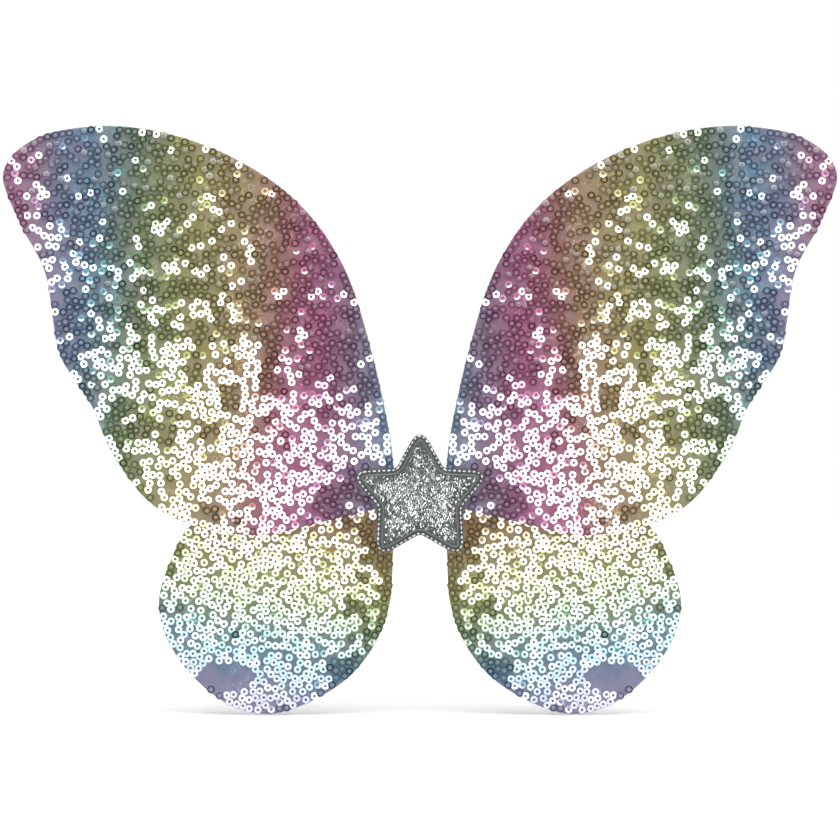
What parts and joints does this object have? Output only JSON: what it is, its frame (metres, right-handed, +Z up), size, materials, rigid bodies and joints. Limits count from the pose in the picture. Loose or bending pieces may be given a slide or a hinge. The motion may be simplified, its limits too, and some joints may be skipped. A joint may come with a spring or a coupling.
{
  "type": "fairy wings",
  "caption": "Child's costume wings: sequined mesh lobes on wire loops, a padded star at the centre, and elastic arm loops behind.",
  "frame": {"origin": "centre of the flat face of the back pad that lies on the wearer's back, at the height of the star's centre", "axes": "+Z up as worn, +Y out of the pad towards the wearer, +X to the wearer's left; the star and the sequins face -Y"},
  "size_m": [0.5006, 0.0259, 0.3527],
  "materials": {
    "sequined_mesh": "iridescent clear sequins stitched flat on rainbow-printed mesh",
    "plain_mesh": "fine knitted mesh, soft lilac grey",
    "steel_wire": "bright drawn wire",
    "silver_cloth": "metallic silver glitter cloth",
    "silver_cord": "wound metallic thread",
    "grey_felt": "pressed felt",
    "wadding": "loose polyester fill",
    "board": "stiff card-like sheet",
    "foam": "dense foam",
    "white_elastic": "woven elastic",
    "thread": "sewing thread",
    "satin": "printed-free satin ribbon"
  },
  "bodies": {
    "centre": {"left_upper_strap_tab": "white_elastic", "left_lower_strap_tab": "white_elastic", "left_upper_wire_tail": "steel_wire", "left_lower_wire_tail": "steel_wire", "right_upper_strap_tab": "white_elastic", "right_lower_strap_tab": "white_elastic", "right_upper_wire_tail": "steel_wire", "right_lower_wire_tail": "steel_wire", "star_backing": "grey_felt", "star_padding": "wadding", "star_cover": "silver_cloth", "star_outer_cord": "silver_cord", "star_inner_cord": "silver_cord", "back_pad": "grey_felt", "centre_plate": "board", "centre_core": "foam"},
    "left_wing": {"left_upper_back_cloth": "plain_mesh", "left_upper_front_cloth": "sequined_mesh", "left_upper_hem": "plain_mesh", "left_upper_wire": "steel_wire", "left_lower_back_cloth": "plain_mesh", "left_lower_front_cloth": "sequined_mesh", "left_lower_hem": "plain_mesh", "left_lower_wire": "steel_wire", "left_outer_tack": "thread", "left_inner_tack": "thread", "care_label": "satin"},
    "right_wing": {"right_upper_back_cloth": "plain_mesh", "right_upper_front_cloth": "sequined_mesh", "right_upper_hem": "plain_mesh", "right_upper_wire": "steel_wire", "right_lower_back_cloth": "plain_mesh", "right_lower_front_cloth": "sequined_mesh", "right_lower_hem": "plain_mesh", "right_lower_wire": "steel_wire", "right_outer_tack": "thread", "right_inner_tack": "thread"},
    "left_strap": {"left_strap": "white_elastic"},
    "right_strap": {"right_strap": "white_elastic"}
  },
  "joints": [
    {"name": "left_wing_fold", "type": "hinge", "parent": "centre", "child": "left_wing", "pos_m": [0.0155, -0.0038, 0], "axis": [0, 0, 1], "range_deg": [0, 45]},
    {"name": "left_strap_swing", "type": "hinge", "parent": "left_wing", "child": "left_strap", "pos_m": [0.0155, -0.0038, 0], "axis": [0, 0, 1], "range_deg": [0, 45]},
    {"name": "right_wing_fold", "type": "hinge", "parent": "centre", "child": "right_wing", "pos_m": [-0.0155, -0.0038, 0], "axis": [0, 0, -1], "range_deg": [0, 45]},
    {"name": "right_strap_swing", "type": "hinge", "parent": "right_wing", "child": "right_strap", "pos_m": [-0.0155, -0.0038, 0], "axis": [0, 0, -1], "range_deg": [0, 45]}
  ]
}
